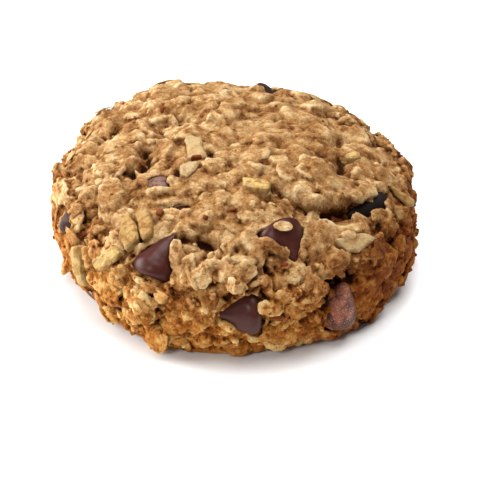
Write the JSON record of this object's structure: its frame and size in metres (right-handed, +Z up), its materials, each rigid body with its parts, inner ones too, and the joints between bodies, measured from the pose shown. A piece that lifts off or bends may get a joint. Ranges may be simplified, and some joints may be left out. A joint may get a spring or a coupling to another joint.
{
  "type": "chocolate chip cookie",
  "caption": "Thick round oat cookie with a craggy top, chocolate chips and walnut pieces set in its crumbly dough, and a flat underside that it rests on.",
  "frame": {"origin": "middle of the flat underside, under the middle of the cookie's box", "axes": "+Z up from the tray through the top, -Y towards the side that the picture shows in front"},
  "size_m": [0.0776, 0.0796, 0.0306],
  "materials": {
    "dough": "baked, matt and crumbly",
    "chocolate": "satin",
    "bloomed_chocolate": "grainy, with a pale bloom",
    "walnut": "matt, broken faces"
  },
  "bodies": {
    "root": {"dough": "dough", "chip_front_left": "chocolate", "chip_front": "chocolate", "chip_rim": "chocolate", "chip_shaded": "chocolate", "chip_rear": "chocolate", "chip_left": "chocolate", "chip_top": "chocolate", "chip_buried": "chocolate", "chip_bloomed": "bloomed_chocolate", "chip_low": "chocolate", "chip_back_1": "chocolate", "chip_back_2": "chocolate", "chip_back_3": "chocolate", "chip_back_4": "chocolate", "walnut_1": "walnut", "walnut_2": "walnut", "walnut_3": "walnut", "walnut_4": "walnut", "walnut_5": "walnut", "walnut_6": "walnut", "walnut_7": "walnut", "walnut_8": "walnut", "walnut_9": "walnut", "walnut_10": "walnut", "walnut_11": "walnut", "walnut_12": "walnut", "walnut_13": "walnut", "walnut_14": "walnut"}
  },
  "joints": []
}
